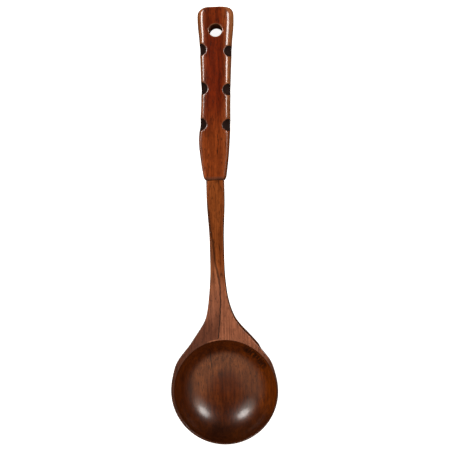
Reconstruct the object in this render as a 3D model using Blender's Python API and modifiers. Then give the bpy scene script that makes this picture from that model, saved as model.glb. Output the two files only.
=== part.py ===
"""A carved wooden ladle: a bowl with its neck and shank, and a grip glued over the tenon on the shank's end.

It lies on the flat foot of its bowl and the end of its grip. Frame: metres, origin at the centre of the
foot, +Y towards the end of the grip, +Z up out of the bowl.
"""

import math

import bmesh
import bpy
from mathutils import Matrix, Vector

# Bowl
BOWL_RADIUS = 0.0404
BOWL_HEIGHT = 0.0300
BOWL_FULLNESS = 2.15  # exponent of its outer curve: 2 is an ellipse, more is squarer
FOOT_RADIUS = 0.0140
RIM_WALL = 0.0018
FLOOR_THICKNESS = 0.0052
FLOOR_RADIUS = 0.0040  # of the flat inside the hollow
HOLLOW_FULLNESS = 2.05
HOLLOW_SHIFT = (0.0006, -0.0006)  # the hollow is carved a little off the bowl's centre

# Neck and shank
FLARE_REACH = 0.0520  # from the bowl's edge to where the neck is as narrow as the shank
SHANK_END = 0.1565  # from the bowl's centre to the shoulder
WAIST_WIDTH = 0.0106
SHOULDER_WIDTH = 0.0135
SHANK_THICKNESS = 0.0100
NECK_ROOT_THICKNESS = 0.0150  # where the neck leaves the bowl
NECK_SPOKES = 4  # the neck leaves the bowl between this many spokes either side of +Y

# Grip
GRIP_LENGTH = 0.1330
GRIP_END_WIDTH = 0.0287
GRIP_HAND_WIDTH = 0.0254
GRIP_WAIST_WIDTH = 0.0227
GRIP_BULGE_WIDTH = 0.0238
GRIP_THICKNESS = 0.0122
GRIP_STEP = 0.0015  # how far the grip stands proud of the shank all round
MOUTH_CHAMFER = 0.0009
CHAMFER_LENGTH = 0.0022
END_WIDTH_FROM_END = 0.0100
HAND_WIDTH_FROM_END = 0.0300
WAIST_FROM_END = 0.0740
BULGE_FROM_END = 0.1000
TAPER_POWER = 1.5  # 1 tapers straight from the bulge to the mouth, more keeps it wide for longer
CORNER_RADIUS = 0.0050
EDGE_WIDTH = 0.0030  # how far the grip's flat face stops short of its side
EDGE_DROP = 0.0016

# Line of the handle
DROOP_POWER = 2.0  # more keeps the handle level for longer and bends it down later
SHANK_BOW = 0.0030  # how far the shank wanders left of the straight line from bowl to grip

# Joint between the shank and the grip
FIT_GAP = 0.0003
TENON_SHOULDER = 0.0011
TENON_LENGTH = 0.0250
TENON_ROOT = 0.0060  # how far the tenon's cylinder starts inside the shank

# Hang hole and finger notches
HOLE_RADIUS = 0.0052
HOLE_FROM_END = 0.0194
LEFT_NOTCHES_FROM_END = (0.0330, 0.0631, 0.0904)  # cut by eye, so not quite level with the right
RIGHT_NOTCHES_FROM_END = (0.0348, 0.0645, 0.0916)
NOTCH_RADIUS = 0.0053
NOTCH_REACH = 0.0060  # in from the grip's side, across its face
NOTCH_DROP = 0.0080  # down the grip's side

# Mesh
SPOKES = 32
HOLLOW_STEPS = 56
ROUND_SIDES = 32
CUT_OVER = 0.0040  # how far a cutter runs past the wood

TENON_RADIUS = SHANK_THICKNESS / 2 - TENON_SHOULDER
GRIP_START = SHANK_END + FIT_GAP
HANDLE_END = GRIP_START + GRIP_LENGTH
MOUTH_WIDTH = SHOULDER_WIDTH + 2 * GRIP_STEP
MOUTH_THICKNESS = SHANK_THICKNESS + 2 * GRIP_STEP
FLARE_END = BOWL_RADIUS + FLARE_REACH
NECK_SPREAD = 2 * math.pi * NECK_SPOKES / SPOKES

# Smooth curves, as (share of the way, share of the size)
FLARE_CURVE = ((0, 1), (0.2, 0.9), (0.4, 0.51), (0.6, 0.14), (0.8, 0.035), (1, 0))
BOW_CURVE = ((0.11, 0), (0.17, 0.5), (0.25, 0.95), (0.63, 1), (0.70, 0.55), (0.78, 0.28), (0.97, 0))

# Sections along the neck and shank, as shares of the way from the bowl to the shoulder; on the neck each
# comes with the share of the bowl's curve left in it
NECK_SECTIONS = ((0.02, 0.72), (0.05, 0.50), (0.09, 0.32), (0.14, 0.18), (0.20, 0.08), (0.27, 0))
SHANK_SECTIONS = (0.35, 0.45, 0.56, 0.67, 0.78, 0.88, 0.96, 0.995)


def smooth_value(curve, at):
    """Value at `at` of the smooth curve through points (position, value); it never overshoots them."""
    if at <= curve[0][0]:
        return curve[0][1]
    rises = [(q[1] - p[1]) / (q[0] - p[0]) for p, q in zip(curve, curve[1:])]
    slopes = [0.0]
    for before, after in zip(rises, rises[1:]):
        slopes.append(2 * before * after / (before + after) if before * after > 0 else 0.0)
    slopes.append(0.0)
    for i, (p, q) in enumerate(zip(curve, curve[1:])):
        if at <= q[0]:
            span = q[0] - p[0]
            t = (at - p[0]) / span
            blend = t * t * (3 - 2 * t)
            bend = slopes[i] * t * (1 - t) ** 2 - slopes[i + 1] * t * t * (1 - t)
            return p[1] + (q[1] - p[1]) * blend + span * bend
    return curve[-1][1]


def mix(a, b, share):
    return a + (b - a) * share


def middle_height(y):
    """Height of the middle of the wood: level at the bowl, then down until the grip's end is on the table."""
    share = max(0.0, (y - BOWL_RADIUS) / (HANDLE_END - BOWL_RADIUS))
    start = BOWL_HEIGHT - SHANK_THICKNESS / 2
    return mix(start, GRIP_THICKNESS / 2, share**DROOP_POWER)


def handle_tilt(y):
    """Angle from level of the handle's line at y; negative points down."""
    step = 0.0005
    return math.atan2(middle_height(y + step) - middle_height(y - step), 2 * step)


def middle_x(y):
    return -SHANK_BOW * smooth_value(BOW_CURVE, y / HANDLE_END)


def neck_half_width(y):
    waist = mix(FLARE_END, SHANK_END, 0.28)
    full = mix(FLARE_END, SHANK_END, 0.80)
    shank = smooth_value(((FLARE_END, WAIST_WIDTH), (waist, WAIST_WIDTH), (full, SHOULDER_WIDTH)), y) / 2
    return mix(shank, BOWL_RADIUS, smooth_value(FLARE_CURVE, y / FLARE_END))


def neck_thickness(y):
    return smooth_value(((BOWL_RADIUS, NECK_ROOT_THICKNESS), (FLARE_END * 0.9, SHANK_THICKNESS)), y)


def flare_radius(angle):
    """Radius of the outline at an angle from +Y, where the flare of the neck still widens the bowl."""
    low, high = BOWL_RADIUS * 0.9, FLARE_END
    for _ in range(40):
        radius = (low + high) / 2
        if radius * math.sin(angle) < neck_half_width(radius * math.cos(angle)):
            low = radius
        else:
            high = radius
    return radius


def mouth_cut(from_end):
    """How much the chamfer takes off each side at the mouth."""
    return MOUTH_CHAMFER * max(0.0, 1 - (GRIP_LENGTH - from_end) / CHAMFER_LENGTH)


def grip_half_width(from_end):
    widths = ((0, GRIP_END_WIDTH), (END_WIDTH_FROM_END, GRIP_END_WIDTH), (HAND_WIDTH_FROM_END, GRIP_HAND_WIDTH),
              (WAIST_FROM_END, GRIP_WAIST_WIDTH), (BULGE_FROM_END, GRIP_BULGE_WIDTH))
    half = smooth_value(widths, from_end) / 2
    if from_end > BULGE_FROM_END:
        taper = (from_end - BULGE_FROM_END) / (GRIP_LENGTH - BULGE_FROM_END)
        half = mix(GRIP_BULGE_WIDTH, MOUTH_WIDTH, taper**TAPER_POWER) / 2
    if from_end < CORNER_RADIUS:
        half -= CORNER_RADIUS - math.sqrt(CORNER_RADIUS**2 - (CORNER_RADIUS - from_end) ** 2)
    return half - mouth_cut(from_end)


def grip_thickness(from_end):
    thickness = smooth_value(((BULGE_FROM_END, GRIP_THICKNESS), (GRIP_LENGTH, MOUTH_THICKNESS)), from_end)
    return thickness - 2 * mouth_cut(from_end)


def bowl_curve(flat_radius, radius, depth, fullness, turn):
    """Point (radius, height) of a bowl's curve: turn 0 is at its rim and turn 1 at the edge of its flat."""
    power = 2 / fullness
    across = math.cos(turn * math.pi / 2) ** power if turn < 1 else 0.0
    down = math.sin(turn * math.pi / 2) ** power
    return mix(flat_radius, radius, across), BOWL_HEIGHT - depth * down


def turn_at(drop):
    """Turn of the outer curve at a drop below the rim."""
    return math.asin((drop / BOWL_HEIGHT) ** (BOWL_FULLNESS / 2)) * 2 / math.pi


def new_object(bm, name, collection, material=None):
    bmesh.ops.recalc_face_normals(bm, faces=bm.faces)
    mesh = bpy.data.meshes.new(name)
    for face in bm.faces:
        face.smooth = True
    bm.to_mesh(mesh)
    bm.free()
    obj = bpy.data.objects.new(name, mesh)
    if material:
        mesh.materials.append(material)
    collection.objects.link(obj)
    return obj


def new_cutter(bm, name, collection):
    obj = new_object(bm, name, collection)
    obj.display_type = "WIRE"
    obj.hide_render = True
    return obj


def combine(obj, operation, others):
    for other in others:
        modifier = obj.modifiers.new(other.name, "BOOLEAN")
        modifier.operation = operation
        modifier.solver = "EXACT"
        modifier.object = other


def turned(profile, steps):
    """Solid turned about Z from points (radius, height) that start and end on the axis."""
    bm = bmesh.new()
    verts = [bm.verts.new((0, radius, z)) for radius, z in profile]
    edges = [bm.edges.new(pair) for pair in zip(verts, verts[1:])]
    bmesh.ops.spin(bm, geom=verts + edges, cent=(0, 0, 0), axis=(0, 0, 1), angle=2 * math.pi, steps=steps,
                   use_merge=True)
    bmesh.ops.remove_doubles(bm, verts=bm.verts, dist=1e-6)
    return bm


def rod(radius, length, place):
    """Round rod along its place's Z, from the place's origin."""
    bm = bmesh.new()
    bmesh.ops.create_cone(bm, cap_ends=True, segments=ROUND_SIDES, radius1=radius, radius2=radius,
                          depth=length, matrix=place @ Matrix.Translation((0, 0, length / 2)))
    return bm


def crease_loop(bm, faces, sharpness=1.0):
    """Keep the outline of a patch of faces sharp under subdivision."""
    layer = bm.edges.layers.float.get("crease_edge") or bm.edges.layers.float.new("crease_edge")
    inside = set(faces)
    for edge in {e for f in faces for e in f.edges}:
        if sum(f in inside for f in edge.link_faces) == 1:
            edge[layer] = sharpness


def pull_out(bm, faces):
    """Extrude a patch of faces: the moving patch and its vertices, with nothing left inside the solid."""
    made = bmesh.ops.extrude_face_region(bm, geom=faces)["geom"]
    bmesh.ops.delete(bm, geom=faces, context="FACES")
    patch = [item for item in made if isinstance(item, bmesh.types.BMFace)]
    return patch, [item for item in made if isinstance(item, bmesh.types.BMVert)]


def solid_bowl():
    """The bowl before it is hollowed, in rings that line up with the neck."""
    top = [(0, BOWL_HEIGHT), (BOWL_RADIUS * 0.5, BOWL_HEIGHT), (BOWL_RADIUS * 0.85, BOWL_HEIGHT)]
    turns = [turn_at(NECK_ROOT_THICKNESS * share) for share in (0, 0.2, 0.6, 1)]
    turns += [mix(turns[-1], 1, share) for share in (0.2, 0.42, 0.66, 0.86, 1)]
    wall = [bowl_curve(FOOT_RADIUS, BOWL_RADIUS, BOWL_HEIGHT, BOWL_FULLNESS, turn) for turn in turns]
    bm = turned(top + wall + [(0, 0)], SPOKES)
    for vert in bm.verts:
        angle = abs(math.atan2(vert.co.x, vert.co.y))
        if vert.co.xy.length > BOWL_RADIUS * 0.8 and angle < math.pi / 2:
            swell = flare_radius(max(angle, NECK_SPREAD)) / BOWL_RADIUS
            lower = max(0.0, 1 - vert.co.z / (BOWL_HEIGHT - NECK_ROOT_THICKNESS))
            vert.co.xy *= mix(swell, 1, lower)
    return bm


def neck_patch(bm):
    """The faces of the bowl's side that the neck grows from."""
    patch = []
    for face in bm.faces:
        middle = face.calc_center_median()
        drops = [BOWL_HEIGHT - v.co.z for v in face.verts]
        on_side = max(drops) > 1e-5 and max(drops) < NECK_ROOT_THICKNESS + 1e-5
        if on_side and abs(math.atan2(middle.x, middle.y)) < NECK_SPREAD:
            patch.append(face)
    return patch


def grow_neck(bm):
    """Draw the neck and shank out of the bowl, section by section, to the shoulder."""
    start = flare_radius(NECK_SPREAD)
    faces = neck_patch(bm)
    place = bm.verts.layers.float_vector.new("place")
    for vert in {v for f in faces for v in f.verts}:
        across = vert.co.x / (vert.co.xy.length * math.sin(NECK_SPREAD))
        vert[place] = (across, (BOWL_HEIGHT - vert.co.z) / NECK_ROOT_THICKNESS, 0)
    sections = NECK_SECTIONS + tuple((share, 0) for share in SHANK_SECTIONS) + ((1, 0),)
    for share, curve in sections:
        faces, moved = pull_out(bm, faces)
        for vert in moved:
            across, below, _ = vert[place]
            y = mix(start, SHANK_END, share) - curve * start * (1 - math.cos(NECK_SPREAD)) * across**2
            x = middle_x(y) + across * neck_half_width(y)
            top = middle_height(y) + SHANK_THICKNESS / 2
            vert.co = (x, y, top - below * neck_thickness(y))
    bm.verts.layers.float_vector.remove(place)
    crease_loop(bm, faces)


def make_hollow(cutters):
    depth = BOWL_HEIGHT - FLOOR_THICKNESS
    radius = BOWL_RADIUS - RIM_WALL
    over = BOWL_HEIGHT + CUT_OVER
    turns = [i / 14 for i in range(15)]
    curve = [bowl_curve(FLOOR_RADIUS, radius, depth, HOLLOW_FULLNESS, turn) for turn in turns]
    bm = turned([(0, over), (radius, over)] + curve + [(0, FLOOR_THICKNESS)], HOLLOW_STEPS)
    bmesh.ops.translate(bm, verts=bm.verts, vec=(*HOLLOW_SHIFT, 0))
    return new_cutter(bm, "hollow_cutter", cutters)


def joint_place():
    """Frame of the tenon and its socket: at the shoulder, Z along the handle."""
    turn = Matrix.Rotation(handle_tilt(SHANK_END) - math.pi / 2, 4, "X")
    return Matrix.Translation((middle_x(SHANK_END), SHANK_END, middle_height(SHANK_END))) @ turn


def make_body(collection, cutters, material):
    bm = solid_bowl()
    foot = [f for f in bm.faces if max(v.co.z for v in f.verts) < 1e-6]
    crease_loop(bm, foot)
    grow_neck(bm)
    obj = new_object(bm, "bowl_and_shank", collection, material)
    subdivide = obj.modifiers.new("round", "SUBSURF")
    subdivide.levels = subdivide.render_levels = 1
    start = joint_place() @ Matrix.Translation((0, 0, -TENON_ROOT))
    tenon = new_cutter(rod(TENON_RADIUS, TENON_ROOT + TENON_LENGTH, start), "tenon_stock", cutters)
    combine(obj, "UNION", [tenon])
    combine(obj, "DIFFERENCE", [make_hollow(cutters)])
    return obj


def grip_section(from_end):
    """Closed outline of the grip, clockwise from the left of its top face."""
    half = grip_half_width(from_end)
    thick = grip_thickness(from_end)
    flat = max(half - EDGE_WIDTH, half * 0.4)
    side = mix(flat, half, 0.72)
    top = [(flat * share, thick / 2) for share in (-1, -0.5, 0, 0.5, 1)]
    right = [(side, thick / 2 - EDGE_DROP), (half, 0), (side, EDGE_DROP - thick / 2)]
    bottom = [(-x, -z) for x, z in top]
    left = [(-x, -z) for x, z in right]
    y = HANDLE_END - from_end
    return [Vector((middle_x(y) + x, y, middle_height(y) + z)) for x, z in top + right + bottom + left]


def solid_grip():
    round_end = [CORNER_RADIUS * share for share in (0, 0.12, 0.4, 1)]
    start = CORNER_RADIUS * 1.8
    long_run = [mix(start, GRIP_LENGTH - 2 * CHAMFER_LENGTH, i / 18) for i in range(19)]
    mouth = [GRIP_LENGTH - CHAMFER_LENGTH, GRIP_LENGTH]
    bm = bmesh.new()
    rings = []
    for from_end in round_end + long_run + mouth:
        rings.append([bm.verts.new(point) for point in grip_section(from_end)])
        loop = rings[-1]
        for pair in zip(loop, loop[1:] + loop[:1]):
            bm.edges.new(pair)
    bmesh.ops.bridge_loops(bm, edges=bm.edges)
    crease_loop(bm, [bm.faces.new(rings[0])], 0.7)
    crease_loop(bm, [bm.faces.new(rings[-1])])
    return bm


def make_socket(cutters):
    radius = TENON_RADIUS + FIT_GAP
    start = joint_place() @ Matrix.Translation((0, 0, -CUT_OVER))
    depth = CUT_OVER + TENON_LENGTH + FIT_GAP
    return new_cutter(rod(radius, depth, start), "socket_cutter", cutters)


def make_hole(cutters):
    y = HANDLE_END - HOLE_FROM_END
    turn = Matrix.Rotation(handle_tilt(y), 4, "X")
    reach = GRIP_THICKNESS / 2 + CUT_OVER
    place = Matrix.Translation((middle_x(y), y, middle_height(y))) @ turn @ Matrix.Translation((0, 0, -reach))
    return new_cutter(rod(HOLE_RADIUS, 2 * reach, place), "hang_hole_cutter", cutters)


def make_notches(cutters):
    """Round gouges that run slantwise over the edges of the top face, from the face down to the side."""
    notches = []
    slant = math.atan2(NOTCH_DROP, NOTCH_REACH)
    for side, places in ((-1, LEFT_NOTCHES_FROM_END), (1, RIGHT_NOTCHES_FROM_END)):
        for number, from_end in enumerate(places, 1):
            y = HANDLE_END - from_end
            top = middle_height(y) + grip_thickness(from_end) / 2
            lip = Vector((middle_x(y) + side * (grip_half_width(from_end) - NOTCH_REACH), y, top))
            along = Vector((side * math.cos(slant), 0, -math.sin(slant)))
            outward = Vector((side * math.sin(slant), 0, math.cos(slant)))
            reach = math.hypot(NOTCH_REACH, NOTCH_DROP) + 2 * CUT_OVER
            start = lip + outward * NOTCH_RADIUS - along * 2 * CUT_OVER
            turn = along.to_track_quat("Z", "Y").to_matrix().to_4x4()
            cutter = rod(NOTCH_RADIUS, reach + CUT_OVER, Matrix.Translation(start) @ turn)
            name = f"notch_cutter_{'left' if side < 0 else 'right'}_{number}"
            notches.append(new_cutter(cutter, name, cutters))
    return notches


def make_grip(collection, cutters, material):
    obj = new_object(solid_grip(), "handle_grip", collection, material)
    subdivide = obj.modifiers.new("round", "SUBSURF")
    subdivide.levels = subdivide.render_levels = 1
    combine(obj, "DIFFERENCE", [make_socket(cutters), make_hole(cutters), *make_notches(cutters)])
    return obj


def new_material(name, color, roughness):
    material = bpy.data.materials.new(name)
    material.use_nodes = True
    shader = material.node_tree.nodes["Principled BSDF"]
    shader.inputs["Base Color"].default_value = (*color, 1)
    shader.inputs["Roughness"].default_value = roughness
    shader.inputs["Coat Weight"].default_value = 0.4
    material.diffuse_color = (*color, 1)
    return material


def main():
    for obj in list(bpy.data.objects):
        bpy.data.objects.remove(obj, do_unlink=True)
    collection = bpy.data.collections.new("wooden_ladle")
    cutters = bpy.data.collections.new("cutters")
    bpy.context.scene.collection.children.link(collection)
    bpy.context.scene.collection.children.link(cutters)
    make_body(collection, cutters, new_material("brown_lacquered_wood", (0.130, 0.040, 0.014), 0.35))
    make_grip(collection, cutters, new_material("red_brown_lacquered_wood", (0.150, 0.028, 0.010), 0.35))


main()
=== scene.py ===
import functools
import math

import bmesh
import bpy
from mathutils import Matrix, Vector


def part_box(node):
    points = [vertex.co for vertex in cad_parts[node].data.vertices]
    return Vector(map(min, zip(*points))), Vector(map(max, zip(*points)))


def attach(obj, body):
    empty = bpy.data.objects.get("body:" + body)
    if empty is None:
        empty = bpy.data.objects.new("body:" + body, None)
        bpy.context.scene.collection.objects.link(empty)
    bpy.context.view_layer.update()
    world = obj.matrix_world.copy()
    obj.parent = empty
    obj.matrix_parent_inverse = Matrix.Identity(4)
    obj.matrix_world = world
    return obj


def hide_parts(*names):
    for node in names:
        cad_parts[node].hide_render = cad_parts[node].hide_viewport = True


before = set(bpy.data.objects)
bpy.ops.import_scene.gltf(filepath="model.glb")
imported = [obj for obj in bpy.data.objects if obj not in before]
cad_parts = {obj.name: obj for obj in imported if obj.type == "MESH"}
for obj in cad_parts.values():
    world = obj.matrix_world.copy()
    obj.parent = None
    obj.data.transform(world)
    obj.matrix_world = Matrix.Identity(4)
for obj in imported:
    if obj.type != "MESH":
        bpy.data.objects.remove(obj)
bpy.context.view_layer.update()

bodyLow, bodyHigh = (Vector(corner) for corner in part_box("bowl_and_shank"))
gripLow, gripHigh = (Vector(corner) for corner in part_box("handle_grip"))

bowlRadius = (bodyHigh.x - bodyLow.x) / 2
rimHeight = bodyHigh.z
shoulderY = gripLow.y
handleEnd = gripHigh.y

# line of the handle, in metres
handle = {
    "shankThickness": 0.0100,
    "gripThickness": 0.0122,
    "droopPower": 2.0,
    "bow": 0.0030,
    # (share of the way to the end, share of the bow)
    "bowCurve": ((0.11, 0), (0.17, 0.5), (0.25, 0.95), (0.63, 1), (0.70, 0.55), (0.78, 0.28),
                 (0.97, 0)),
}

bowl = {
    "spokes": 64,
    "rings": 14,  # of the hollow
    "fullness": 2.15,
    "lowerRows": (0.13, 0.27, 0.42, 0.57, 0.71, 0.84, 0.94, 1),  # from under the neck to the foot
    "footRadius": 0.0140,
    "footRing": 0.55,  # share of the foot's radius
    "footCrease": 0.6,
    "rimWall": 0.0018,
    "rimEase": 0.00045,
    "floorThickness": 0.0052,
    "floorRadius": 0.0040,
    "hollowFullness": 2.05,
    "hollowShift": (0.0006, -0.0006),
}

neck = {
    "spread": 8,  # spokes each side of +Y that the neck grows from
    "rootThickness": 0.0150,
    "flareEnd": 0.0924,
    "slimAt": 0.9,  # share of the flare where the neck is as thin as the shank
    "waistWidth": 0.0106,
    "shoulderWidth": 0.0135,
    "widening": (0.28, 0.80),  # shares of the shank where it starts and stops getting wider
    "sideLean": 0.055,  # how far the top and bottom edges lean in
    "leanAt": 0.3,  # share of the way where that lean is full
    "crown": 0.00035,  # how much the face falls off towards its edges
    "crownAt": 0.1,
    "rows": (0, 0.05, 0.16, 0.36, 0.62, 0.84, 0.95, 1),
    "flare": ((0, 1), (0.2, 0.9), (0.4, 0.51), (0.6, 0.14), (0.8, 0.035), (1, 0)),
    # share of the way to the shoulder, and share of the bowl's curve left in the section
    "sections": ((0.008, 0.88), (0.02, 0.74), (0.035, 0.61), (0.05, 0.50), (0.07, 0.40),
                 (0.09, 0.32), (0.115, 0.24), (0.14, 0.18), (0.17, 0.12), (0.20, 0.08),
                 (0.235, 0.03), (0.27, 0)),
    "plainRun": (0.31, 0.985),  # the straight sections after those
    "plainCount": 16,
    "endGap": 0.0003,  # left free before the grip's mouth
    "endReach": 0.0085,  # from the middle of the shank's end to its corners, and a little over
    "tenonLength": 0.0248,
    "tenonRadius": 0.0039,
}


def smoothValue(curve, at):  # monotone cubic through (position, value) points
    if at <= curve[0][0]:
        return curve[0][1]
    rises = [(q[1] - p[1]) / (q[0] - p[0]) for p, q in zip(curve, curve[1:])]
    slopes = [0.0]
    for before, after in zip(rises, rises[1:]):
        slopes.append(2 * before * after / (before + after) if before * after > 0 else 0.0)
    slopes.append(0.0)
    for i, (p, q) in enumerate(zip(curve, curve[1:])):
        if at <= q[0]:
            span = q[0] - p[0]
            t = (at - p[0]) / span
            blend = t * t * (3 - 2 * t)
            bend = slopes[i] * t * (1 - t) ** 2 - slopes[i + 1] * t * t * (1 - t)
            return p[1] + (q[1] - p[1]) * blend + span * bend
    return curve[-1][1]


def mix(a, b, share):
    return a + (b - a) * share


def middleHeight(y):
    share = max(0.0, (y - bowlRadius) / (handleEnd - bowlRadius))
    atBowl = rimHeight - handle["shankThickness"] / 2
    return mix(atBowl, handle["gripThickness"] / 2, share ** handle["droopPower"])


def handleTilt(y):
    step = 0.0005
    return math.atan2(middleHeight(y + step) - middleHeight(y - step), 2 * step)


def middleX(y):
    return -handle["bow"] * smoothValue(handle["bowCurve"], y / handleEnd)


def handlePlace(y, turn=0.0):  # on the handle's middle line, tilted along with it
    tilt = Matrix.Rotation(handleTilt(y) + turn, 4, "X")
    return Matrix.Translation((middleX(y), y, middleHeight(y))) @ tilt


def neckHalfWidth(y):
    flareEnd, waist = neck["flareEnd"], neck["waistWidth"]
    start, stop = (mix(flareEnd, shoulderY, share) for share in neck["widening"])
    widths = ((flareEnd, waist), (start, waist), (stop, neck["shoulderWidth"]))
    return mix(smoothValue(widths, y) / 2, bowlRadius, smoothValue(neck["flare"], y / flareEnd))


def neckThickness(y):
    root = (bowlRadius, neck["rootThickness"])
    slim = (neck["flareEnd"] * neck["slimAt"], handle["shankThickness"])
    return smoothValue((root, slim), y)


def flareRadius(angle):  # where the neck's flare still widens the bowl's outline
    low, high = bowlRadius * 0.9, neck["flareEnd"]
    for _ in range(40):
        radius = (low + high) / 2
        if radius * math.sin(angle) < neckHalfWidth(radius * math.cos(angle)):
            low = radius
        else:
            high = radius
    return radius


def bowlCurve(flatRadius, radius, depth, fullness, turn):
    power = 2 / fullness
    across = math.cos(turn * math.pi / 2) ** power if turn < 1 else 0.0
    down = math.sin(turn * math.pi / 2) ** power
    return mix(flatRadius, radius, across), rimHeight - depth * down


def turnAt(drop):
    return math.asin((drop / rimHeight) ** (bowl["fullness"] / 2)) * 2 / math.pi


def newPiece(name, bm, material, subdivisions=0):
    bmesh.ops.recalc_face_normals(bm, faces=bm.faces)
    mesh = bpy.data.meshes.new(name)
    for face in bm.faces:
        face.smooth = True
    bm.to_mesh(mesh)
    bm.free()
    mesh.materials.append(material)
    piece = bpy.data.objects.new(name, mesh)
    bpy.context.scene.collection.objects.link(piece)
    if subdivisions:
        rounder = piece.modifiers.new("round", "SUBSURF")
        rounder.levels = rounder.render_levels = subdivisions
    return piece


def creaseOutline(bm, faces, sharpness):
    layer = bm.edges.layers.float.get("crease_edge") or bm.edges.layers.float.new("crease_edge")
    inside = set(faces)
    for edge in {e for f in faces for e in f.edges}:
        if sum(f in inside for f in edge.link_faces) == 1:
            edge[layer] = sharpness


def pullOut(bm, faces):
    made = bmesh.ops.extrude_face_region(bm, geom=faces)["geom"]
    bmesh.ops.delete(bm, geom=faces, context="FACES")
    patch = [item for item in made if isinstance(item, bmesh.types.BMFace)]
    return patch, [item for item in made if isinstance(item, bmesh.types.BMVert)]


def bowlProfile():  # half a section as (radius, height): the hollow with its lip, then the outside
    depth = rimHeight - bowl["floorThickness"]
    inner = bowlRadius - bowl["rimWall"]
    ease = bowl["rimEase"]
    turns = [1 - i / bowl["rings"] for i in range(bowl["rings"])]
    hollow = [(0, bowl["floorThickness"])]
    hollow += [bowlCurve(bowl["floorRadius"], inner, depth, bowl["hollowFullness"], turn)
               for turn in turns]
    hollow += [(inner, rimHeight - 2 * ease)]
    lip = [(inner + 0.2 * ease, rimHeight - 0.5 * ease), (inner + ease, rimHeight)]
    turns = [turnAt(neck["rootThickness"] * share) for share in neck["rows"]]
    turns += [mix(turns[-1], 1, share) for share in bowl["lowerRows"]]
    wall = [bowlCurve(bowl["footRadius"], bowlRadius, rimHeight, bowl["fullness"], turn)
            for turn in turns]
    foot = [(bowl["footRadius"] * bowl["footRing"], 0), (0, 0)]
    return hollow + lip, wall + foot


def turnBowl():
    spread = 2 * math.pi * neck["spread"] / bowl["spokes"]
    shiftX, shiftY = bowl["hollowShift"]
    inside, outside = bowlProfile()
    bm = bmesh.new()
    verts = [bm.verts.new((0, radius, z)) for radius, z in inside + outside]
    edges = [bm.edges.new(pair) for pair in zip(verts, verts[1:])]
    bmesh.ops.spin(bm, geom=verts + edges, cent=(0, 0, 0), axis=(0, 0, 1), angle=2 * math.pi,
                   steps=bowl["spokes"], use_merge=True)
    bmesh.ops.remove_doubles(bm, verts=bm.verts, dist=1e-6)
    for vert in bm.verts:
        radius = vert.co.xy.length
        if any(abs(radius - r) < 1e-6 and abs(vert.co.z - z) < 1e-6 for r, z in inside):
            vert.co.x += shiftX
            vert.co.y += shiftY
            continue
        angle = abs(math.atan2(vert.co.x, vert.co.y))
        if angle < math.pi / 2 and radius > bowlRadius * 0.3:
            swell = flareRadius(max(angle, spread)) / bowlRadius
            lower = max(0.0, 1 - vert.co.z / (rimHeight - neck["rootThickness"]))
            vert.co.xy *= mix(swell, 1, lower)
    underneath = [f for f in bm.faces if max(v.co.z for v in f.verts) < 1e-6]
    creaseOutline(bm, underneath, bowl["footCrease"])
    return bm


def neckRoot(bm, spread, start):  # the faces of the bowl's wall that the neck grows from
    faces = []
    for face in bm.faces:
        middle = face.calc_center_median()
        drops = [rimHeight - v.co.z for v in face.verts]
        upright = max(drops) - min(drops) > 1e-4 and abs(face.normal.z) < 0.7
        high = max(drops) < neck["rootThickness"] + 1e-5
        outer = middle.xy.length > max(bowlRadius * 0.9, start * 0.93)
        if outer and high and upright and abs(math.atan2(middle.x, middle.y)) < spread:
            faces.append(face)
    return faces


def growNeck(bm):
    spread = 2 * math.pi * neck["spread"] / bowl["spokes"]
    start = flareRadius(spread)
    faces = neckRoot(bm, spread, start)
    place = bm.verts.layers.float_vector.new("place")
    for vert in {v for f in faces for v in f.verts}:
        across = vert.co.x / (vert.co.xy.length * math.sin(spread))
        vert[place] = (across, (rimHeight - vert.co.z) / neck["rootThickness"], 0)
    steps = neck["plainCount"] - 1
    run = tuple((mix(*neck["plainRun"], i / steps), 0) for i in range(neck["plainCount"]))
    end = shoulderY - neck["endGap"]
    for share, curve in neck["sections"] + run + ((0.996, 0), (1, 0)):
        faces, moved = pullOut(bm, faces)
        for vert in moved:
            across, below, _ = vert[place]
            y = mix(start, end, share) - curve * start * (1 - math.cos(spread)) * across**2
            lean = neck["sideLean"] * min(1, share / neck["leanAt"]) * (2 * below - 1) ** 4
            x = middleX(y) + across * neckHalfWidth(y) * (1 - lean)
            fall = neck["crown"] * min(1, share / neck["crownAt"]) * across**4 * (1 - 2 * below)
            top = middleHeight(y) + handle["shankThickness"] / 2
            vert.co = (x, y, top - below * neckThickness(y) - fall)
    bm.verts.layers.float_vector.remove(place)
    creaseOutline(bm, faces, 1)
    return faces


def addTenon(bm, faces):
    place = handlePlace(shoulderY, -math.pi / 2)
    back = place.inverted()
    for reach in (0.0, 0.3, 1.0):
        faces, moved = pullOut(bm, faces)
        patch, made = set(faces), set(moved)
        border = [e for e in bm.edges if sum(f in patch for f in e.link_faces) == 1]
        rim = {v for e in border for v in e.verts if v in made}
        for vert in moved:
            local = back @ vert.co
            flat = Vector((local.x, local.y, 0))
            if vert in rim:
                flat = flat.normalized() * neck["tenonRadius"]
            else:
                flat *= neck["tenonRadius"] / neck["endReach"]
            flat.z = neck["tenonLength"] * reach
            vert.co = place @ flat
        creaseOutline(bm, faces, 1)


def makeBody(material):
    bm = turnBowl()
    bm.normal_update()
    bmesh.ops.recalc_face_normals(bm, faces=bm.faces)
    addTenon(bm, growNeck(bm))
    piece = newPiece("ladle_bowl_and_shank", bm, material, 2)
    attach(piece, "root")
    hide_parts("bowl_and_shank")


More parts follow.
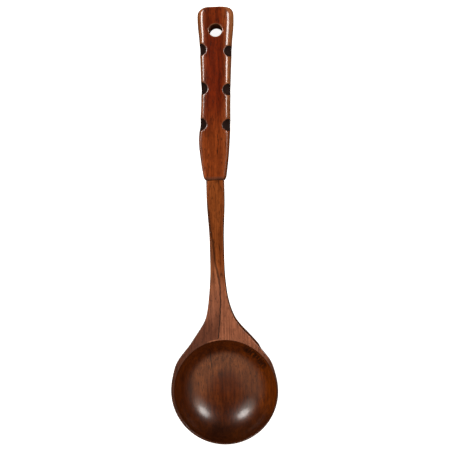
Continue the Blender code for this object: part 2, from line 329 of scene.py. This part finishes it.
grip = {
    "endWidth": 0.0287,
    "handWidth": 0.0254,
    "waistWidth": 0.0227,
    "bulgeWidth": 0.0238,
    "step": 0.0015,
    "mouthChamfer": 0.0009,
    "chamferLength": 0.0022,
    "endWidthFromEnd": 0.0100,
    "handWidthFromEnd": 0.0300,
    "waistFromEnd": 0.0740,
    "bulgeFromEnd": 0.1000,
    "taperPower": 1.5,
    "cornerRadius": 0.0050,
    "leftCornerCut": 0.0016,  # the left corner is rounded off a little more
    # widths of the eased edges, as (from the end, width)
    "leftEdge": ((0, 0.0036), (0.020, 0.0034), (0.034, 0.0021), (0.110, 0.0018)),
    "rightEdge": ((0, 0.0054), (0.020, 0.0052), (0.036, 0.0043), (0.075, 0.0034), (0.110, 0.0031)),
    "edgeNarrows": (0.088, 0.112),  # from the end
    "mouthEdge": 0.45,  # share of that width left at the mouth
    "edgeDrop": (0.0008, 0.28),  # a fixed part, and a share of the edge's width
    "edgeFullness": 0.72,
    "holeRadius": 0.0050,
    "holeFromEnd": 0.0194,
    "holeCut": 0.04,  # length of the rod that cuts it
    "socketRadius": 0.0042,
    "socketDepth": 0.0255,
    "socketOver": 0.004,  # how far that rod sticks out of the mouth
    "voxel": 0.0004,
    "sanding": 20,  # smoothing passes that ease every cut edge
}

notches = {
    "left": (0.0330, 0.0631, 0.0904),  # from the grip's end
    "right": (0.0348, 0.0645, 0.0916),
    "radius": 0.0053,
    "reach": (0.0055, 0.0062),
    "drop": 0.0080,
    "over": 0.008,  # how far each cutting rod sticks out
}

gripLength = handleEnd - shoulderY
mouthWidth = neck["shoulderWidth"] + 2 * grip["step"]
mouthThickness = handle["shankThickness"] + 2 * grip["step"]


def mouthCut(fromEnd):
    return grip["mouthChamfer"] * max(0.0, 1 - (gripLength - fromEnd) / grip["chamferLength"])


def gripHalfWidth(fromEnd):
    bulgeAt, bulgeWidth = grip["bulgeFromEnd"], grip["bulgeWidth"]
    widths = ((0, grip["endWidth"]), (grip["endWidthFromEnd"], grip["endWidth"]),
              (grip["handWidthFromEnd"], grip["handWidth"]),
              (grip["waistFromEnd"], grip["waistWidth"]), (bulgeAt, bulgeWidth))
    half = smoothValue(widths, fromEnd) / 2
    if fromEnd > bulgeAt:
        taper = (fromEnd - bulgeAt) / (gripLength - bulgeAt)
        half = mix(bulgeWidth, mouthWidth, min(1.0, taper) ** grip["taperPower"]) / 2
    corner = grip["cornerRadius"]
    if fromEnd < corner:
        half -= corner - math.sqrt(corner**2 - (corner - fromEnd) ** 2)
    return half - mouthCut(fromEnd)


def gripThickness(fromEnd):
    curve = ((grip["bulgeFromEnd"], handle["gripThickness"]), (gripLength, mouthThickness))
    return smoothValue(curve, fromEnd) - 2 * mouthCut(fromEnd)


def gripOutline(fromEnd):
    half = gripHalfWidth(fromEnd)
    height = gripThickness(fromEnd) / 2
    cut = grip["leftCornerCut"] * max(0.0, 1 - fromEnd / grip["cornerRadius"]) ** 2
    wide, narrow = grip["edgeNarrows"]
    kept = smoothValue(((wide, 1), (narrow, grip["mouthEdge"])), fromEnd)
    widths = [smoothValue(grip[edge], fromEnd) * kept for edge in ("leftEdge", "rightEdge")]
    drop, slope = grip["edgeDrop"]
    leftFace, rightFace = (half - width for width in widths)
    leftDrop, rightDrop = (height - drop - slope * width for width in widths)
    leftBulge = mix(leftFace, half - cut, grip["edgeFullness"])
    rightBulge = mix(rightFace, half, grip["edgeFullness"])
    top = [(mix(-leftFace, rightFace, share), height) for share in (0, 0.25, 0.5, 0.75, 1)]
    bottom = [(x, -z) for x, z in reversed(top)]
    rightSide = [(rightBulge, rightDrop), (half, 0), (rightBulge, -rightDrop)]
    leftSide = [(-leftBulge, -leftDrop), (cut - half, 0), (-leftBulge, leftDrop)]
    y = handleEnd - fromEnd
    return [Vector((middleX(y) + x, y, middleHeight(y) + z))
            for x, z in top + rightSide + bottom + leftSide]


def loftGrip():
    corner = grip["cornerRadius"]
    chamfer = grip["chamferLength"]
    roundEnd = [corner * share for share in (0, 0.05, 0.15, 0.35, 0.65, 1)]
    run = [mix(corner * 1.4, gripLength - 1.7 * chamfer, i / 30) for i in range(31)]
    mouth = [gripLength - share * chamfer for share in (1.2, 0.9, 0)]
    bm = bmesh.new()
    loops = []
    for fromEnd in roundEnd + run + mouth:
        loop = [bm.verts.new(point) for point in gripOutline(fromEnd)]
        loops.append(loop)
        for pair in zip(loop, loop[1:] + loop[:1]):
            bm.edges.new(pair)
    bmesh.ops.bridge_loops(bm, edges=bm.edges)
    creaseOutline(bm, [bm.faces.new(loops[0])], 0.55)
    creaseOutline(bm, [bm.faces.new(loops[-1])], 1)
    return bm


def addRod(bm, radius, length, place, sides=96):
    bmesh.ops.create_cone(bm, cap_ends=True, segments=sides, radius1=radius, radius2=radius,
                          depth=length, matrix=place @ Matrix.Translation((0, 0, length / 2)))


def notchLines():  # axis of each gouge: a point on it, its direction and its length
    over = notches["over"]
    lines = []
    for side, name, reach in zip((-1, 1), ("left", "right"), notches["reach"]):
        slant = math.atan2(notches["drop"], reach)
        for fromEnd in notches[name]:
            y = handleEnd - fromEnd
            top = middleHeight(y) + gripThickness(fromEnd) / 2
            lip = Vector((middleX(y) + side * (gripHalfWidth(fromEnd) - reach), y, top))
            along = Vector((side * math.cos(slant), 0, -math.sin(slant)))
            outward = Vector((side * math.sin(slant), 0, math.cos(slant)))
            lines.append((lip + outward * notches["radius"] - along * over, along,
                          math.hypot(reach, notches["drop"]) + 1.5 * over))
    return lines


def holeLine():
    return handlePlace(handleEnd - grip["holeFromEnd"])


def makeCuts():  # the notches, the hang hole and the socket, as one set of rods
    bm = bmesh.new()
    for start, along, length in notchLines():
        turn = along.to_track_quat("Z", "Y").to_matrix().to_4x4()
        addRod(bm, notches["radius"], length, Matrix.Translation(start) @ turn)
    hole = holeLine() @ Matrix.Translation((0, 0, -grip["holeCut"] / 2))
    addRod(bm, grip["holeRadius"], grip["holeCut"], hole)
    over = grip["socketOver"]
    socket = handlePlace(shoulderY, -math.pi / 2) @ Matrix.Translation((0, 0, -over))
    addRod(bm, grip["socketRadius"], grip["socketDepth"] + over, socket)
    bmesh.ops.recalc_face_normals(bm, faces=bm.faces)
    mesh = bpy.data.meshes.new("cuts")
    bm.to_mesh(mesh)
    bm.free()
    cuts = bpy.data.objects.new("cuts", mesh)
    bpy.context.scene.collection.objects.link(cuts)
    return cuts


def cutGrip(piece):
    cuts = makeCuts()
    cutting = piece.modifiers.new("cut", "BOOLEAN")
    cutting.operation = "DIFFERENCE"
    cutting.solver = "EXACT"
    cutting.object = cuts
    even = piece.modifiers.new("even", "REMESH")
    even.mode = "VOXEL"
    even.voxel_size = grip["voxel"]
    even.use_smooth_shade = True
    sanding = piece.modifiers.new("sand", "SMOOTH")
    sanding.factor = 0.5
    sanding.iterations = grip["sanding"]
    seen = piece.evaluated_get(bpy.context.evaluated_depsgraph_get())
    finished = bpy.data.meshes.new_from_object(seen)
    piece.modifiers.clear()
    piece.data = finished
    for face in finished.polygons:
        face.use_smooth = True
    bpy.data.objects.remove(cuts, do_unlink=True)


def makeGrip(material):
    piece = newPiece("ladle_handle_grip", loftGrip(), material, 3)
    cutGrip(piece)
    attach(piece, "root")
    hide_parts("handle_grip")


class Wire:  # an output socket; arithmetic on it adds Math nodes
    def __init__(self, sheet, socket):
        self.sheet = sheet
        self.socket = socket

    def join(self, operation, *values):
        return self.sheet.add("ShaderNodeMath", {"operation": operation}, values)

    def __add__(self, other):
        return self.join("ADD", self, other)

    def __radd__(self, other):
        return self.join("ADD", other, self)

    def __sub__(self, other):
        return self.join("SUBTRACT", self, other)

    def __rsub__(self, other):
        return self.join("SUBTRACT", other, self)

    def __mul__(self, other):
        if isinstance(other, tuple):
            return self.sheet.vector("MULTIPLY", self, other)
        return self.join("MULTIPLY", self, other)

    def __rmul__(self, other):
        return self.join("MULTIPLY", other, self)

    def __truediv__(self, other):
        return self.join("DIVIDE", self, other)

    def __rtruediv__(self, other):
        return self.join("DIVIDE", other, self)

    def __abs__(self):
        return self.join("ABSOLUTE", self)

    def larger(self, other):
        return self.join("MAXIMUM", self, other)


class Sheet:  # the node tree of a material or of the world
    def __init__(self, owner, shader="Principled BSDF", coordinates="Object"):
        owner.use_nodes = True
        self.owner = owner
        self.tree = owner.node_tree
        self.shader = self.tree.nodes[shader]
        self.place = self.add("ShaderNodeTexCoord", output=coordinates)
        self.x, self.y, self.z = self.apart(self.place)

    def add(self, kind, settings=None, inputs=(), output=0):
        node = self.tree.nodes.new(kind)
        for key, value in (settings or {}).items():
            setattr(node, key, value)
        pairs = inputs.items() if isinstance(inputs, dict) else enumerate(inputs)
        for key, value in pairs:
            self.feed(node.inputs[key], value)
        return Wire(self, node.outputs[output])

    def feed(self, socket, value):
        if isinstance(value, Wire):
            self.tree.links.new(value.socket, socket)
        elif hasattr(socket.default_value, "__len__") and len(value) < len(socket.default_value):
            socket.default_value = (*value, 1)
        else:
            socket.default_value = value

    def set(self, **values):
        for name, value in values.items():
            self.feed(self.shader.inputs[name.replace("_", " ")], value)

    def apart(self, wire):
        node = self.add("ShaderNodeSeparateXYZ", {}, [wire]).socket.node
        return [Wire(self, socket) for socket in node.outputs]

    def ramp(self, low, high, wire):  # 0 below low, 1 above high, smooth between
        return self.add("ShaderNodeMapRange", {"interpolation_type": "SMOOTHSTEP"},
                        [wire, low, high, 0, 1])

    def vector(self, operation, a, b, output=0):
        return self.add("ShaderNodeVectorMath", {"operation": operation}, [a, b], output)

    def length(self, wire):
        return self.add("ShaderNodeVectorMath", {"operation": "LENGTH"}, [wire], "Value")

    def noise(self, scale, detail=2, roughness=0.5, offset=(0, 0, 0), place=None):
        moved = self.vector("ADD", place or self.place, offset)
        stretched = self.vector("MULTIPLY", moved, scale)
        return self.add("ShaderNodeTexNoise", {}, {"Vector": stretched, "Scale": 1,
                                                   "Detail": detail, "Roughness": roughness})

    def blend(self, factor, a, b, kind="MIX"):
        return self.add("ShaderNodeMix", {"data_type": "RGBA", "blend_type": kind},
                        {0: factor, 6: a, 7: b}, 2)


wood = {
    "grip": (0.150, 0.0150, 0.0011),
    # lighter towards the face's edges: partly wear, partly painted sheen beside the edge
    # highlights
    "gripBorderWearAndSheen": (0.360, 0.0950, 0.0250),
    "gripLow": (0.270, 0.0540, 0.0100),
    # lighter on the grip's slanted edge facets: partly wear, partly painted sheen
    "wearAndSheen": (0.480, 0.2050, 0.0850),  # along the grip's edges
    "shank": (0.268, 0.0690, 0.0150),
    # lighter and greyer left of the vein: partly wood tone, partly painted sheen
    "shankLeft": (0.290, 0.0950, 0.0350),
    # the neck's top: lighter and greyer, partly wood tone and partly painted sheen
    "neck": (0.375, 0.1320, 0.0650),
    "leftOfVein": (0.42, 0.36, 0.34),
    "bowlMiddle": (0.120, 0.0225, 0.0024),
    # the ring round the floor's middle: painted sheen, lighter and greyer than the middle
    "bowlRingSheen": (0.235, 0.0640, 0.0150),
    "bowlWall": (0.200, 0.0400, 0.0011),
    # multiplier that darkens the left wall: painted shade
    "bowlLeftShade": (0.45, 0.42, 0.60),
    # the near wall and near floor: painted shade
    "bowlNearShade": (0.058, 0.0125, 0.0014),
    # the far half of the floor: painted sheen
    "bowlFarSheen": (0.320, 0.0970, 0.0280),
    # multiplier that darkens the floor's right side: painted shade
    "bowlRightShade": (0.76, 0.68, 0.52),
    "bowlSide": (0.150, 0.0420, 0.0130),
    "seam": (0.095, 0.0280, 0.0090),
    # the top of the bowl's rim, kept dark: painted shade
    "rim": (0.080, 0.0220, 0.0080),
    "pore": (0.020, 0.0045, 0.0015),
    # burnt colour of the notches; also painted shade inside the hang hole
    "burnAndShade": (0.024, 0.0070, 0.0040),
    "vein": (0.012, 0.0040, 0.0020),
}

vein = {  # a dark growth line that wanders from the bowl's floor up the shank
    # (y, x), in metres
    "line": ((0.007, -0.0107), (0.015, -0.0107), (0.025, -0.0110), (0.0360, -0.0110),
             (0.0385, -0.0038), (0.042, -0.0031), (0.055, -0.0018), (0.069, -0.0010),
             (0.0795, -0.0015), (0.095, -0.0041), (0.112, -0.0058), (0.1225, -0.0074),
             (0.1356, -0.0086), (0.143, -0.0096)),
    "deepest": 0.012,  # the line stays within this distance left of the middle
    "width": 0.00025,
    "wander": 0.0016,
    "starts": (0.009, 0.015),  # it fades in and out along +Y
    "stops": (0.135, 0.146),
    "hidden": ((0.0275, 0.0300), (0.0375, 0.0385)),  # on the bowl's wall
    "wider": (0.070, 0.085),
    "steadier": (0.030, 0.045),  # it wanders less before this
}

knot = {  # short slanting strokes on the bowl's wall
    "radius": (0.0298, 0.0370),  # band they lie in, from the bowl's middle
    "fade": 0.002,
    "spread": 0.92,  # cosine of half its angle, about the corner between +X and +Y
}

darkPatch = {  # a dark patch on the bowl's front wall
    "middle": (-0.0058, -0.0330),
    "squash": (0.5, 1, 0),
    "size": (0.0010, 0.0080),
}


def woodGrain(sheet):
    warp = sheet.noise((14, 5, 14), 2, offset=(0.3, 0.1, 0.2))
    sideways = sheet.add("ShaderNodeCombineXYZ", {}, [(warp - 0.5) * 0.006, 0, 0])
    bent = sheet.vector("ADD", sheet.place, sideways)
    broad = sheet.noise((260, 5, 200), 3, 0.55, (0.2, 0.4, 0.1), bent)
    fine = sheet.noise((720, 22, 600), 4, 0.65, (0.5, 0.1, 0.7), bent)
    pores = sheet.noise((1150, 170, 1000), 2, 0.6, (0.1, 0.8, 0.3), bent)
    figure = sheet.noise((420, 190, 300), 3, 0.6, (0.6, 0.3, 0.8), bent)
    cloud = sheet.noise((70, 26, 70), 3, 0.55, (0.9, 0.2, 0.5))
    return broad, fine, sheet.ramp(0.56, 0.70, pores), figure, cloud


def finishWood(sheet, color, grain, roughness, coat, coatRoughness):
    broad, fine, pores, figure, cloud = grain
    streaks = ((sheet.ramp(0.36, 0.64, broad) * 0.45, (0.40, 0.30, 0.26)),
               (sheet.ramp(0.40, 0.62, fine) * 0.55, (0.34, 0.27, 0.24)),
               (sheet.ramp(0.44, 0.64, figure) * 0.38, (0.45, 0.40, 0.36)),
               (sheet.ramp(0.50, 0.75, cloud) * 0.45, (1.5, 1.6, 1.8)))
    for strength, tint in streaks:
        color = sheet.blend(strength, color, tint, "MULTIPLY")
    color = sheet.blend(pores * 0.7, color, wood["pore"])
    relief = (fine - 0.5) * 0.5 + (broad - 0.5) * 0.35 - pores * 0.8
    bump = sheet.add("ShaderNodeBump", {}, {"Strength": 0.25, "Distance": 0.00006,
                                            "Height": relief})
    sheet.set(Base_Color=color, Roughness=roughness + (cloud - 0.5) * 0.12, Normal=bump,
              Coat_Weight=coat, Coat_Roughness=coatRoughness, Specular_IOR_Level=0.25)


def veinCurve(sheet):  # x of the vein at each y
    line, deepest = vein["line"], vein["deepest"]
    span = line[-1][0]
    curve = sheet.add("ShaderNodeFloatCurve", {}, {"Value": sheet.y / span})
    points = curve.socket.node.mapping.curves[0].points
    spots = [(y / span, 1 + x / deepest) for y, x in line]
    points[0].location = spots[0]
    points[len(points) - 1].location = spots[-1]
    for spot in spots[1:-1]:
        points.new(*spot)
    curve.socket.node.mapping.update()
    return (curve - 1) * deepest


def veinMask(sheet):  # the vein itself, and what lies to its left
    leaves, returns = vein["hidden"]
    middle = veinCurve(sheet)
    wander = (sheet.noise((0, 160, 0), 3, 0.6, (0.4, 0.2, 0.9)) - 0.5) * vein["wander"]
    wander = wander * (0.15 + sheet.ramp(*vein["steadier"], sheet.y) * 0.85)
    away = abs(sheet.x - middle - wander) * (1 - sheet.ramp(*vein["wider"], sheet.y) * 0.4)
    strength = sheet.ramp(0.26, 0.42, sheet.noise((0, 190, 0), 2, 0.5, (0.7, 0.6, 0.2)))
    shown = sheet.ramp(*vein["starts"], sheet.y) * (1 - sheet.ramp(*vein["stops"], sheet.y))
    hidden = sheet.ramp(*leaves, sheet.y) * (1 - sheet.ramp(*returns, sheet.y))
    dark = (1 - sheet.ramp(vein["width"], vein["width"] * 2.6, away)) * strength
    left = sheet.ramp(-0.001, 0.0015, middle + wander - sheet.x)
    return dark * (shown * (1 - hidden)), left


def knotMask(sheet):
    (inner, outer), fade, spread = knot["radius"], knot["fade"], knot["spread"]
    flat = sheet.place * (1, 1, 0)
    away = sheet.length(flat)
    toCorner = sheet.vector("DOT_PRODUCT", flat, (0.707, 0.707, 0), "Value") / away
    turned = sheet.add("ShaderNodeMapping", {}, {"Vector": sheet.place,
                                                 "Rotation": (0, 0, -math.pi / 4)})
    strokes = sheet.noise((150, 560, 0), 2, 0.6, (0.3, 0.9, 0.4), turned)
    band = sheet.ramp(inner, inner + fade, away) * (1 - sheet.ramp(outer - fade, outer, away))
    return sheet.ramp(0.42, 0.50, strokes) * band * sheet.ramp(spread, spread + 0.05, toCorner)


def darkPatchMask(sheet):
    offset = sheet.vector("SUBTRACT", sheet.place, (*darkPatch["middle"], 0))
    return 1 - sheet.ramp(*darkPatch["size"], sheet.length(offset * darkPatch["squash"]))


brownZones = {  # where a look of the brown wood starts and where it is full, in metres
    "neck": (0.012, 0.040),  # along +Y
    "neckShade": (0.046, 0.066),
    "shank": (0.062, 0.100),
    "shankShade": (0.120, 0.140),
    # farFloor and ring place painted sheen; nearFloor, nearWall, rightFloor and rightWall place
    # painted shade; nearRing keeps the sheen off the near floor
    "farFloor": (0, 0.020),
    "nearFloor": (0, 0.024),  # along -Y
    "nearRing": (-0.002, 0.018),
    "nearWall": (0.006, 0.032),
    "rightFloor": (0.006, 0.022),  # along +X
    "rightWall": (-0.034, 0.020),
    "ring": (0.008, 0.018),  # away from the bowl's middle
    "wall": (0.0235, 0.0285),
    "underRim": (0.0012, 0.0004),  # below the rim
    "withinRim": (0.0016, 0.0004),  # inside the bowl's radius
}


# colour of the hollow with painted light: sheen on the floor's ring and far half, shade on the
# near and left walls and on the near and right floor
def hollowColor(sheet, away):
    def zone(name, wire):
        return sheet.ramp(*brownZones[name], wire)

    near = 0 - sheet.y
    # painted shade: the left wall darker than the right
    wall = sheet.blend(1 - zone("rightWall", sheet.x), wood["bowlWall"], wood["bowlLeftShade"],
                       "MULTIPLY")
    # painted shade on the near wall
    wall = sheet.blend(zone("nearWall", near), wall, wood["bowlNearShade"])
    # painted sheen: a lighter ring round the floor's middle, kept off the near side
    ring = zone("ring", away) * (1 - zone("nearRing", near))
    color = sheet.blend(ring, wood["bowlMiddle"], wood["bowlRingSheen"])
    # painted sheen on the far half of the floor
    color = sheet.blend(ring * zone("farFloor", sheet.y), color, wood["bowlFarSheen"])
    # painted shade on the near floor
    color = sheet.blend(zone("nearFloor", near) * 0.65, color, wood["bowlNearShade"])
    # painted shade on the right side of the floor
    color = sheet.blend(zone("rightFloor", sheet.x), color, wood["bowlRightShade"], "MULTIPLY")
    return sheet.blend(zone("wall", away), color, wall)


def brownWood():
    sheet = Sheet(bpy.data.materials.new("brown_lacquered_wood"))
    grain = woodGrain(sheet)
    away = sheet.length(sheet.place * (1, 1, 0))
    onNeck, pastNeck, onShank, pastShank = (
        sheet.ramp(*brownZones[name], sheet.y)
        for name in ("neck", "neckShade", "shank", "shankShade"))
    atRim = sheet.ramp(*(rimHeight - drop for drop in brownZones["underRim"]), sheet.z)
    outside = sheet.ramp(*(bowlRadius - inset for inset in brownZones["withinRim"]), away)
    neckTop = onNeck * atRim
    dark, left = veinMask(sheet)
    side = sheet.blend(onNeck, wood["bowlSide"], wood["shank"])
    color = sheet.blend(outside, hollowColor(sheet, away), side)
    color = sheet.blend(darkPatchMask(sheet) * 0.85, color, wood["pore"])
    # neck top: partly wood tone, partly painted sheen, darker left of the vein
    neckColor = sheet.blend(left * (1 - pastNeck * 0.9), wood["neck"], wood["leftOfVein"],
                            "MULTIPLY")
    # painted shade on the rim's top; the neck's top gets the neck colour with its painted sheen
    color = sheet.blend(atRim, color, sheet.blend(onNeck, wood["rim"], neckColor))
    # left of the vein on the shank: partly wood tone, partly painted sheen
    shankColor = sheet.blend(left * (1 - pastShank), wood["shank"], wood["shankLeft"])
    color = sheet.blend(onShank, color, shankColor)
    color = sheet.blend(dark * (0.70 + onNeck * 0.15 - onShank * 0.20), color, wood["vein"])
    color = sheet.blend(knotMask(sheet) * 0.82, color, wood["vein"])
    roughness = 0.30 + neckTop * 0.12 - onShank * 0.14
    finishWood(sheet, color, grain, roughness, 0.42 - neckTop * 0.2, 0.19)
    return sheet.owner


redZones = {  # where a look of the red wood starts and where it is full, in metres up the grip
    "red": (0.022, 0.066),
    # the facets' painted sheen and wear grow over this stretch up the grip
    "wearAndSheen": (0.030, 0.070),
    "bent": (0.026, 0.078),  # the grip's middle line bends over this stretch
    "coated": (0.020, 0.070),
    "mouth": (0.0004, 0.0034),
}


def upGrip(sheet, name, wire=None):
    return sheet.ramp(*(shoulderY + reach for reach in redZones[name]), wire or sheet.y)


def notchMask(sheet):
    radius = notches["radius"]
    masks = []
    for start, along, _ in notchLines():
        offset = sheet.vector("SUBTRACT", sheet.place, tuple(start))
        away = sheet.length(sheet.vector("CROSS_PRODUCT", offset, tuple(along)))
        masks.append(1 - sheet.ramp(radius + 0.00005, radius + 0.0003, away))
    return functools.reduce(Wire.larger, masks)


def holeMask(sheet):
    back = holeLine().inverted()
    turned = sheet.add("ShaderNodeMapping", {}, {"Vector": sheet.place,
                                                 "Rotation": back.to_euler(),
                                                 "Location": back.to_translation()})
    away = sheet.length(turned * (1, 1, 0))
    return 1 - sheet.ramp(grip["holeRadius"] + 0.0001, grip["holeRadius"] + 0.0004, away)


def redWood():
    sheet = Sheet(bpy.data.materials.new("red_brown_lacquered_wood"))
    grain = woodGrain(sheet)
    low = 1 - upGrip(sheet, "red") + sheet.ramp(handleEnd - 0.035, handleEnd, sheet.y) * 0.25
    color = sheet.blend(low, wood["grip"], wood["gripLow"])
    facing = abs(sheet.apart(sheet.add("ShaderNodeNewGeometry", output="Normal"))[2])
    # painted sheen and wear on the slanted facets, picked by how far the surface tilts
    wearAndSheen = (1 - sheet.ramp(0.80, 0.985, facing)) * sheet.ramp(0, 0.30, facing)
    color = sheet.blend(wearAndSheen * (0.25 + upGrip(sheet, "wearAndSheen") * 0.75), color, wood["wearAndSheen"])
    # partly wear, partly painted sheen: the face lighter towards its edges
    fromMiddle = abs(sheet.x - (upGrip(sheet, "bent") * 0.0026 - 0.0039))
    border = sheet.ramp(0.0048, 0.0088, fromMiddle)
    color = sheet.blend(border * 0.45, color, wood["gripBorderWearAndSheen"])
    burnt = notchMask(sheet)
    color = sheet.blend(burnt, color, wood["burnAndShade"])
    # painted shade inside the hang hole
    inHole = holeMask(sheet)
    color = sheet.blend(inHole * 0.6, color, wood["burnAndShade"])
    mouth = 1 - upGrip(sheet, "mouth", sheet.y + (grain[3] - 0.5) * 0.003)
    color = sheet.blend(mouth * 0.75, color, wood["seam"])
    dull = burnt.larger(inHole).larger(mouth * 0.8)
    coat = (0.65 - dull * 0.65) * sheet.ramp(0.05, 0.60, facing)
    coat = coat * (0.25 + upGrip(sheet, "coated") * 0.75)
    finishWood(sheet, color, grain, 0.22 + dull * 0.5, coat, 0.16)
    return sheet.owner


def makeStage():
    bm = bmesh.new()
    bmesh.ops.create_grid(bm, x_segments=1, y_segments=1, size=3)
    sheet = Sheet(bpy.data.materials.new("floor_white"))
    sheet.set(Base_Color=(0.8, 0.8, 0.8), Roughness=0.9, Emission_Color=(1, 1, 1),
              Emission_Strength=0.9)
    floor = newPiece("floor", bm, sheet.owner)
    floor.visible_glossy = False
    floor.visible_diffuse = False


def makeRoom():  # what the lacquer mirrors: bright in front and to the sides, dark behind
    sheet = Sheet(bpy.data.worlds.new("room"), "Background", "Generated")
    front = sheet.ramp(0.08, 0.42, abs(sheet.x) * 0.45 - sheet.y)
    glow = (0.01 + front * 0.69) * sheet.ramp(0.16, 0.48, sheet.z)
    seen = sheet.add("ShaderNodeLightPath", output="Is Camera Ray")
    sheet.set(Color=sheet.blend(seen, (1, 0.86, 0.70), (1, 1, 1)), Strength=glow.larger(seen))
    bpy.context.scene.world = sheet.owner


def addLamp(name, direction, distance, size, power, color, target):
    lamp = bpy.data.lights.new(name, "AREA")
    lamp.shape = "ELLIPSE"
    lamp.size, lamp.size_y = size
    lamp.energy = power
    lamp.color = color
    holder = bpy.data.objects.new(name, lamp)
    toLamp = Vector(direction).normalized()
    holder.location = Vector(target) + toLamp * distance
    holder.rotation_euler = toLamp.to_track_quat("Z", "Y").to_euler()
    bpy.context.scene.collection.objects.link(holder)


def addLamps():
    middle = (0, 0.08, 0.02)
    nearWhite, warm = (1, 0.96, 0.92), (1, 0.87, 0.73)
    addLamp("lamp_right", (0.61, 0.47, 0.66), 2.8, (0.98, 0.76), 37, nearWhite, middle)
    addLamp("lamp_left", (-0.49, 0.52, 0.70), 2.8, (0.95, 0.72), 39, nearWhite, middle)
    addLamp("glow_right", (0.69, 0.27, 0.66), 2.9, (1.3, 1.5), 11, warm, middle)
    addLamp("glow_left", (-0.60, 0.32, 0.71), 2.9, (1.3, 1.5), 11, warm, middle)


def addCamera():
    distance, roll, lean = 0.70, math.radians(1.64), math.radians(3.3)
    target = Vector((0.00325, 0.12305, 0.018))
    right = Vector((math.cos(roll), -math.sin(roll), 0))
    up = Vector((math.sin(roll), math.cos(roll), 0))
    back = right * math.sin(lean) + Vector((0, 0, 1)) * math.cos(lean)
    side = up.cross(back).normalized()
    camera = bpy.data.objects.new("camera", bpy.data.cameras.new("camera"))
    camera.data.lens = 74.18
    camera.data.sensor_width = 36
    turn = Matrix((side, back.cross(side), back)).transposed().to_4x4()
    camera.matrix_world = Matrix.Translation(target + back * distance) @ turn
    bpy.context.scene.collection.objects.link(camera)
    bpy.context.scene.camera = camera


makeBody(brownWood())
print("bowl and shank done")
makeGrip(redWood())
print("grip done")
makeStage()
makeRoom()
addLamps()
addCamera()
bpy.context.scene.view_settings.view_transform = "Standard"
print("stage, lamps and camera done")

bpy.context.view_layer.update()
